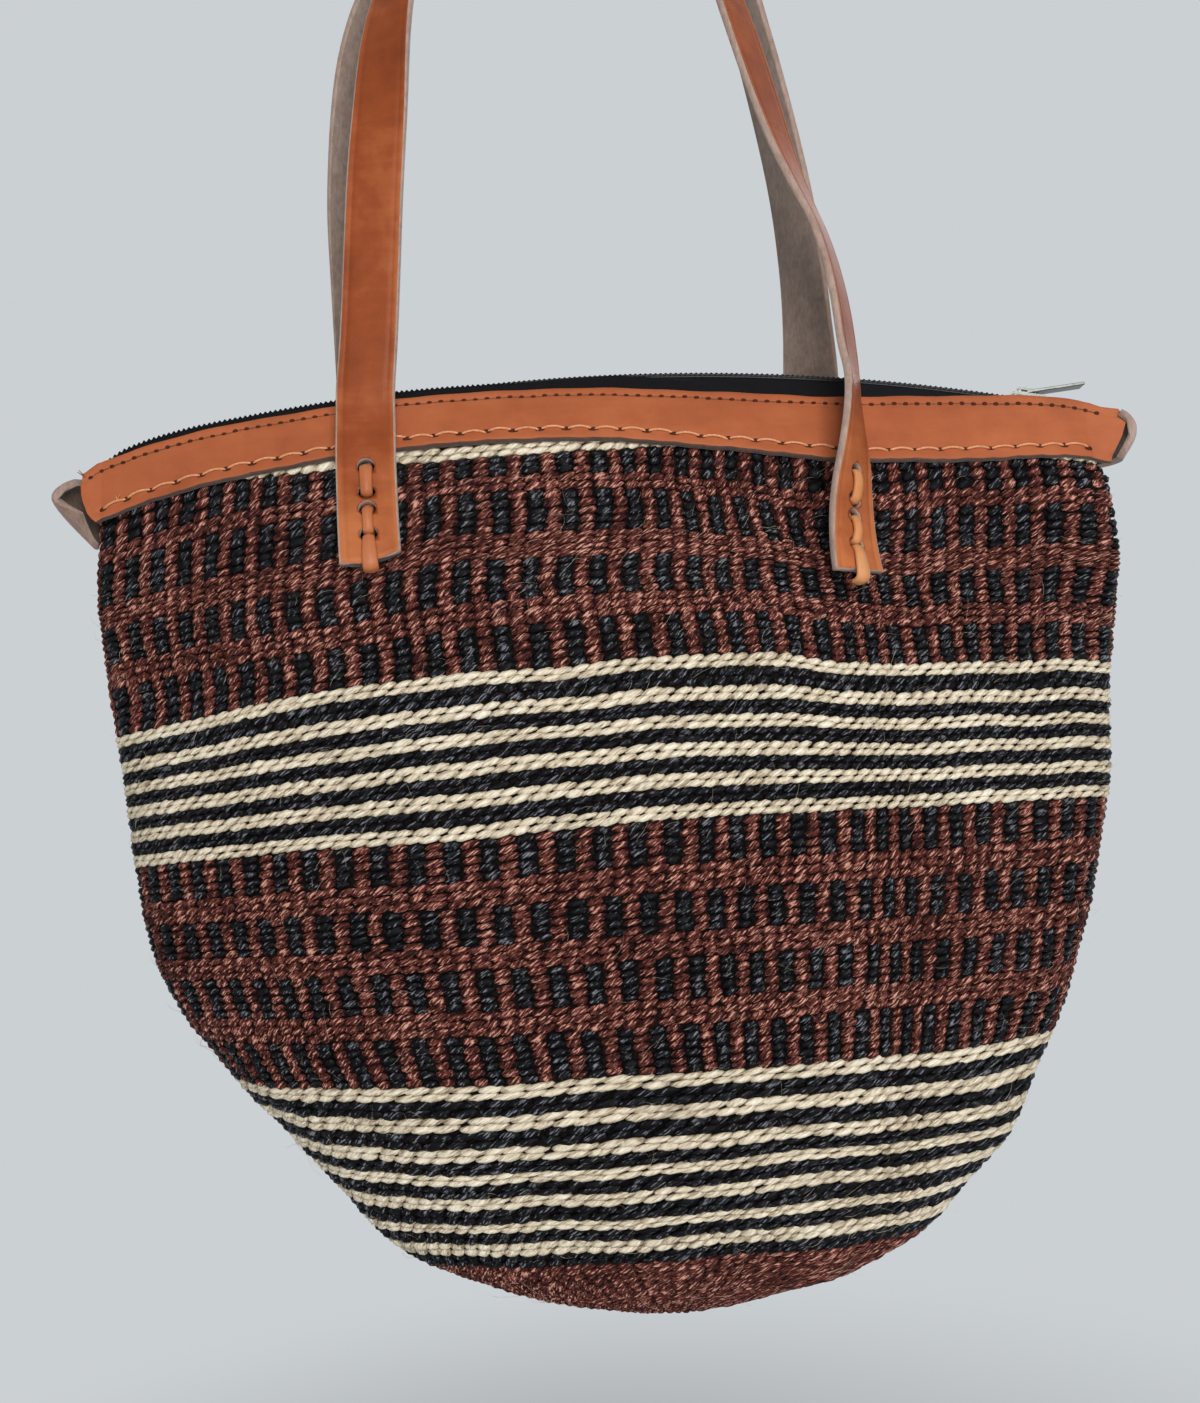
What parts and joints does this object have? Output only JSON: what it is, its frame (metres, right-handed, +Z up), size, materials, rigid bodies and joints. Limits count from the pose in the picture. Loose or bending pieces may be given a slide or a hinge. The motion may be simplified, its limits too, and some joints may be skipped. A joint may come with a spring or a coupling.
{
  "type": "kiondo basket",
  "caption": "Woven sisal kiondo tote with a leather rim, an open coil zip along the mouth and long laced leather shoulder straps.",
  "frame": {"origin": "underside of the crown of the straps, on the middle plane, where a hook or peg carries the basket", "axes": "+X to the right along the mouth, towards the end where the zip slider is parked; -Y the front; +Z up"},
  "size_m": [0.4018, 0.118, 0.5545],
  "materials": {
    "sisal": "twined sisal twine in red-brown, black and cream",
    "tan_leather": "satin tan",
    "strap_leather": "glossy tan with a raw flesh side",
    "lace_leather": "satin light tan",
    "zip_cloth": "woven black tape",
    "coil_nylon": "black nylon",
    "nickel": "nickel plated"
  },
  "bodies": {
    "basket": {"basket_body": "sisal", "rim_band_front": "tan_leather", "rim_band_back": "tan_leather", "ear_left": "tan_leather", "ear_right": "tan_leather", "zip_tape_front": "zip_cloth", "zip_tape_back": "zip_cloth", "zip_coil_front": "coil_nylon", "zip_coil_back": "coil_nylon", "zip_end_stop": "nickel", "zip_top_stop_front": "nickel", "zip_top_stop_back": "nickel", "strap_end_front_left": "strap_leather", "strap_end_front_right": "strap_leather", "strap_end_back_left": "strap_leather", "strap_end_back_right": "strap_leather", "lace_front_left": "lace_leather", "lace_front_right": "lace_leather", "lace_back_left": "lace_leather", "lace_back_right": "lace_leather"},
    "front_strap": {"strap_loop_front": "strap_leather"},
    "back_strap": {"strap_loop_back": "strap_leather"},
    "slider": {"zip_slider": "nickel"},
    "pull_tab": {"zip_pull_tab": "nickel"}
  },
  "joints": [
    {"name": "front_strap_fold", "type": "hinge", "parent": "basket", "child": "front_strap", "pos_m": [0, -0.0205, -0.217], "axis": [1, 0, 0], "range_deg": [0, 150]},
    {"name": "back_strap_fold", "type": "hinge", "parent": "basket", "child": "back_strap", "pos_m": [0, 0.0205, -0.217], "axis": [-1, 0, 0], "range_deg": [0, 150]},
    {"name": "zip_travel", "type": "hinge", "parent": "basket", "child": "slider", "pos_m": [0, 0, -0.9613], "axis": [0, -1, 0], "range_deg": [0, 25]},
    {"name": "pull_tab_swing", "type": "hinge", "parent": "slider", "child": "pull_tab", "pos_m": [0.1636, 0, -0.2265], "axis": [0, -1, 0], "range_deg": [0, 140]}
  ]
}
